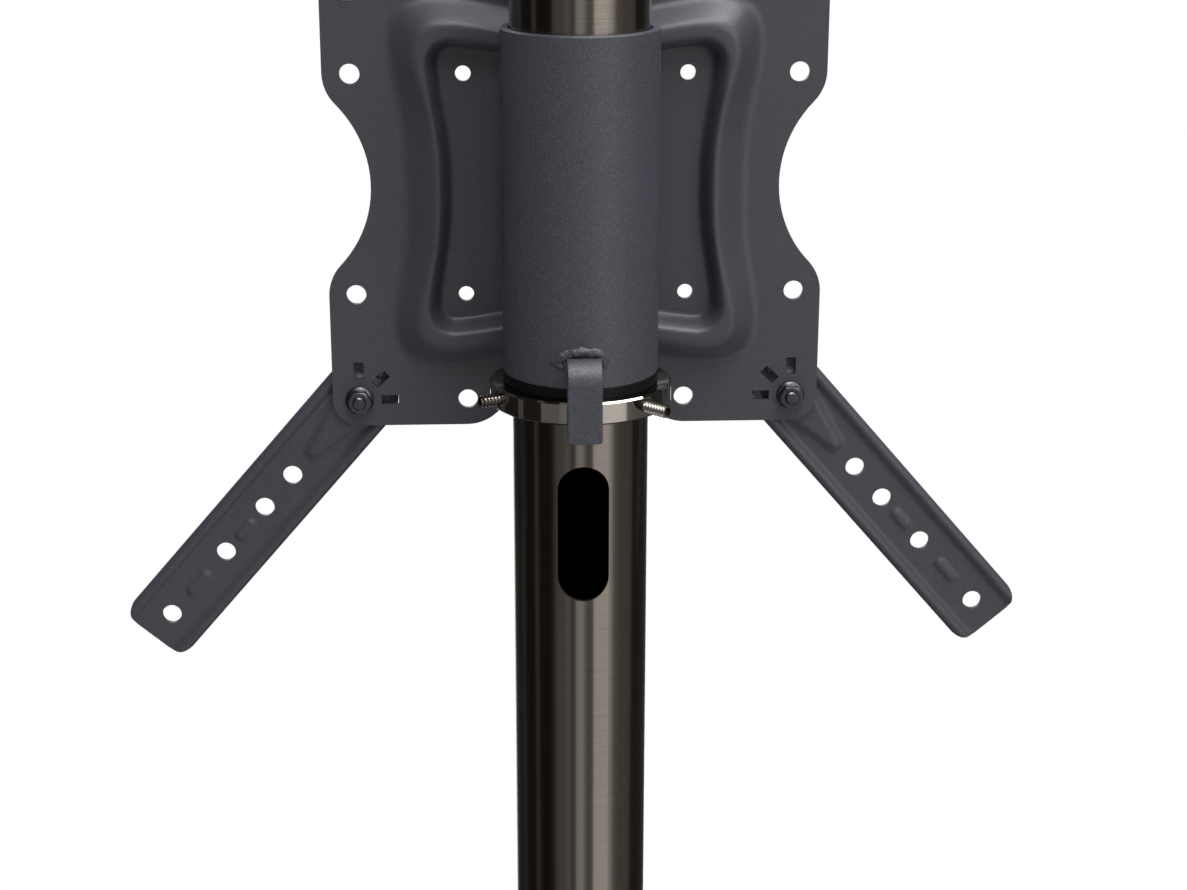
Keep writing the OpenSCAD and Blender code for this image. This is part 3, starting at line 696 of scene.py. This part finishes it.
def threadedRod(length, tip):
    # a zigzag is wound up the rod, squared off at both ends, and its ends are chamfered
    turns = math.ceil(length / thread["pitch"] + 2 * thread["over"])
    bpy.ops.object.select_all(action="DESELECT")
    bpy.ops.mesh.primitive_plane_add(size=mm)
    rod = bpy.context.object
    bpy.ops.object.mode_set(mode="EDIT")
    bpy.ops.mesh.select_mode(type="VERT")
    bpy.ops.mesh.select_all(action="SELECT")
    bpy.ops.mesh.merge(type="CENTER")
    bpy.ops.mesh.select_all(action="SELECT")
    depth, half = thread["depth"] * mm, thread["pitch"] / 2 * mm
    bpy.ops.transform.translate(value=(thread["radius"] * mm - depth, 0,
                                       -thread["over"] * thread["pitch"] * mm))
    bpy.ops.mesh.extrude_vertices_move(TRANSFORM_OT_translate={"value": (depth, 0, half)})
    bpy.ops.mesh.extrude_vertices_move(TRANSFORM_OT_translate={"value": (-depth, 0, half)})
    bpy.ops.object.mode_set(mode="OBJECT")
    finishModifier(rod, "SCREW", axis="Z", angle=math.tau, screw_offset=thread["pitch"] * mm,
                   iterations=turns, steps=thread["steps"], render_steps=thread["steps"],
                   use_merge_vertices=True, merge_threshold=thread["merge"] * mm)
    bpy.ops.object.mode_set(mode="EDIT")
    bpy.ops.mesh.select_all(action="SELECT")
    bpy.ops.mesh.remove_doubles(threshold=thread["merge"] * mm)
    bpy.ops.mesh.bisect(plane_co=(0, 0, 0), plane_no=(0, 0, 1), use_fill=True, clear_inner=True)
    bpy.ops.mesh.select_all(action="SELECT")
    bpy.ops.mesh.bisect(plane_co=(0, 0, length * mm), plane_no=(0, 0, 1), use_fill=True, clear_outer=True)
    bpy.ops.object.mode_set(mode="OBJECT")
    faceOutward(rod)
    pin = addCylinder(48, thread["radius"] + thread["play"], 0, length)
    bevelEdges(pin, tip, 3, 60)
    combine(rod, pin, "INTERSECT")
    return rod


def overCorners(flats):
    return flats / 2 / math.cos(math.pi / 6)


def hexBlock(flats, height, low):
    return addCylinder(6, overCorners(flats), low, low + height, 0, math.pi / 2)


# Turned corners of nuts and bolt heads
turned = {
    "over": 3.2,  # how far the cone's foot lies outside the hexagon's corners
    "under": 0.2,  # how far its top lies inside the flats
    "slope": 0.5,
    "spare": 6.0,
}


def roundOff(block, flats, height, low, side):
    # cuts the block with a cone that narrows towards the side given, and with a wider prism behind it
    wide = overCorners(flats) + turned["over"]
    narrow = flats / 2 - turned["under"]
    deep = (wide - narrow) * turned["slope"]
    bpy.ops.object.select_all(action="DESELECT")
    bpy.ops.mesh.primitive_cone_add(vertices=64, radius1=wide * mm, radius2=narrow * mm, depth=deep * mm,
                                    location=(0, 0, 0))
    cone = bpy.context.object
    if side > 0:
        placeMesh(cone, Matrix.Translation((0, 0, (low + height - deep / 2) * mm)))
    else:
        placeMesh(cone, Matrix.Translation((0, 0, (low + deep / 2) * mm)) @ Matrix.Rotation(math.pi, 4, "X"))
    combine(cone, hexBlock(flats + turned["spare"], height, low - deep * side), "UNION")
    combine(block, cone, "INTERSECT")


# Flange nuts on the plate's rear and the bolts that the arms turn on
fasteners = {
    "flats": 10.0,
    "nutTop": span("pivot_nuts", "Y")[1],
    "flange": 13.0,
    "flangeThick": 1.1,
    "flangeRise": 0.9,
    "flangeTaper": 0.74,
    "flangeEdge": 0.25,
    "hexEdge": 0.15,
    "boreOver": 0.12,
    "cutterReach": 10.0,
    "headOut": span("pivot_bolts", "Y")[0],
    "headIn": span("pivot_washers", "Y")[0],
    "end": span("pivot_bolts", "Y")[1],
    "tip": 0.6,
}


def pivotMatrix(sideX, sideZ):
    across, up = sideX * arms["pivot"] * mm, (plate["centre"] + sideZ * arms["pivot"]) * mm
    return Matrix.Translation((across, 0, up)) @ Matrix.Rotation(math.radians(-90), 4, "X")


def repeatAtPivots(piece):
    copies = []
    for sideX in (-1, 1):
        for sideZ in (-1, 1):
            copy = piece.copy()
            copy.data = piece.data.copy()
            bpy.context.scene.collection.objects.link(copy)
            placeMesh(copy, pivotMatrix(sideX, sideZ))
            copies.append(copy)
    bpy.data.objects.remove(piece)
    return joinPieces(copies)


def makeNuts(spec):
    low = plate["rear"]
    height = spec["nutTop"] - low
    block = hexBlock(spec["flats"], height, low)
    roundOff(block, spec["flats"], height, low, 1)
    flange = addCylinder(64, spec["flange"] / 2, low, low + spec["flangeThick"])
    # the flange rises to the hexagon in a shallow cone
    choose(flange, "FACE", lambda face: face.normal.z > 0.9)
    bpy.ops.mesh.extrude_region_move(TRANSFORM_OT_translate={"value": (0, 0, spec["flangeRise"] * mm)})
    bpy.ops.transform.resize(value=(spec["flangeTaper"], spec["flangeTaper"], 1))
    bpy.ops.object.mode_set(mode="OBJECT")
    bevelEdges(flange, spec["flangeEdge"], 3, 25)
    bevelEdges(block, spec["hexEdge"], 2, 25)
    combine(block, flange, "UNION")
    reach = spec["cutterReach"]
    bore = addCylinder(48, thread["radius"] + spec["boreOver"], low - reach, low + reach)
    combine(block, bore, "DIFFERENCE")
    settle(repeatAtPivots(block), "pivotNuts", "pivot_nuts", 25)


def makeBolts(spec):
    rod = threadedRod(spec["end"] - spec["headIn"], spec["tip"])
    placeMesh(rod, Matrix.Translation((0, 0, spec["headIn"] * mm)))
    low = spec["headOut"]
    height = spec["headIn"] - low
    head = hexBlock(spec["flats"], height, low)
    roundOff(head, spec["flats"], height, low, -1)
    bevelEdges(head, spec["hexEdge"], 2, 25)
    settle(repeatAtPivots(joinPieces([head, rod])), "pivotBolts", "pivot_bolts", 25)


makeNuts(fasteners)
makeBolts(fasteners)
print("pivot fasteners made")


# Set screws: threaded, with a hexagon socket
setScrews = {
    "socket": 3.4,
    "socketDeep": 3.6,
    "tip": 0.45,
}
# hardened and blackened screws, drawn as pale steel whose colour and gloss drift a little
screwSteel = metal("blackened steel, rubbed", "#b6b2ac", "#8c8883", 0.12, 0.1)


def makeSetScrew(spec, node, name):
    # each screw backs out along its joint's axis, which gives its angle from the rear
    axis = Vector(joints[node + "_travel"]["axis"])
    angle = round(math.degrees(math.atan2(-axis.x, axis.y)), 2)
    along = [axis.dot(vertex.co) / mm for vertex in nodes[node].data.vertices]
    inner = round(min(along), 2)
    length = round(max(along) - inner, 2)
    rod = threadedRod(length, spec["tip"])
    socket = hexBlock(spec["socket"], spec["socketDeep"] * 2, length - spec["socketDeep"])
    combine(rod, socket, "DIFFERENCE")
    placeMesh(rod, Matrix.Translation((0, 0, middleOf(node, "Z") * mm))
              @ Matrix.Rotation(math.radians(angle), 4, "Z") @ Matrix.Rotation(math.radians(-90), 4, "X")
              @ Matrix.Translation((0, 0, inner * mm)))
    settle(rod, name, node, 25)
    rod.data.materials[0] = screwSteel


makeSetScrew(setScrews, "set_screw_left", "setScrewLeft")
makeSetScrew(setScrews, "set_screw_right", "setScrewRight")
print("set screws made")


# Weld round the strap's root: drops laid close together along a path, melted together
weld = {
    "sleeve": span("sleeve", "X")[1],
    "top": span("stop_strap", "Z")[1],
    # place across, place up from the strap's top, and size along the bead
    "path": ((14.2, -2.6, 1.0), (12.4, -1.6, 1.9), (10.0, -0.4, 2.6), (7.4, 1.2, 2.4), (4.4, 2.0, 2.3),
             (1.6, 2.6, 2.5), (-1.4, 2.4, 2.3), (-4.2, 2.1, 2.4), (-6.8, 1.2, 2.3), (-8.4, -0.8, 2.2),
             (-8.9, -3.0, 1.7), (-8.9, -5.0, 1.1)),
    "side": ((11.2, -3.0, 1.9), (9.6, -3.8, 1.8), (8.6, -5.4, 1.2)),
    "between": 5,
    "sunk": 0.9,
    "grain": 0.32,
    "smoothed": 10,
    "lump": 2.4,
    "lumpHeight": 0.9,
}


def makeWeld(spec):
    drops = []
    for path in (spec["path"], spec["side"]):
        for start, end in zip(path, path[1:]):
            for step in range(spec["between"]):
                share = step / spec["between"]
                across, up, size = [a + (b - a) * share for a, b in zip(start, end)]
                depth = math.sqrt(spec["sleeve"] ** 2 - across ** 2) - spec["sunk"]
                place = (across * mm, depth * mm, (spec["top"] + up) * mm)
                bpy.ops.object.select_all(action="DESELECT")
                bpy.ops.mesh.primitive_uv_sphere_add(segments=16, ring_count=8, radius=size * mm,
                                                     location=place)
                drops.append(bpy.context.object)
    bead = joinPieces(drops)
    bpy.ops.object.transform_apply(location=True, rotation=True, scale=True)
    finishModifier(bead, "REMESH", mode="VOXEL", voxel_size=spec["grain"] * mm)
    finishModifier(bead, "SMOOTH", factor=0.6, iterations=spec["smoothed"])
    lumps = bpy.data.textures.new("weld lumps", "CLOUDS")
    lumps.noise_scale = spec["lump"] * mm
    finishModifier(bead, "DISPLACE", texture=lumps, strength=spec["lumpHeight"] * mm, mid_level=0.5,
                   texture_coords="LOCAL")
    settle(bead, "strapWeld", "strap_weld", 60)


makeWeld(weld)
print("weld made")


# Turned and bent pieces: the CAD shape, with the edges that a file or a coat leaves on it
softEdges = {  # name, and width of the rounding
    "sleeve": ("poleSleeve", 0.5),
    "stop_strap": ("stopStrap", 0.7),
    "collar_ring": ("clampCollar", 0.12),
    "thrust_washer": ("thrustWasher", 0.4),
    "base_plate": ("basePlate", 1.5),
    "pole": ("poleTube", 0.25),
    "pole_cap": ("poleCap", 0.4),
    "rubber_feet": ("rubberFeet", 0.8),
    "base_cover": ("baseCover", 0.3),
    "pivot_washers": ("pivotWashers", 0.15),
}


def soften(node, name, width):
    piece = copyNode(node)
    bpy.ops.object.mode_set(mode="EDIT")
    bpy.ops.mesh.select_all(action="SELECT")
    bpy.ops.mesh.dissolve_limited(angle_limit=math.radians(0.4))
    bpy.ops.object.mode_set(mode="OBJECT")
    bevelEdges(piece, width, 3, 35)
    settle(piece, name, node, 32)
    # wide flat faces keep their own normals beside the rounded edges
    finishModifier(piece, "WEIGHTED_NORMAL", keep_sharp=True)


for node, (name, width) in softEdges.items():
    soften(node, name, width)

# the tube's inside, never brushed or plated, is painted near black: painted shade for the dark bore
paintedBoreShade = metal("painted shade inside the tube", "#17171a", "#101012", 0.6, 0.2)
tube = bpy.data.objects["poleTube"]
tube.data.materials.append(paintedBoreShade)
boreReach = 28.6 * mm
uprightBelow = 0.5
for face in tube.data.polygons:
    if Vector(face.center[:2]).length < boreReach and abs(face.normal.z) < uprightBelow:
        face.material_index = 1
print("edges softened")
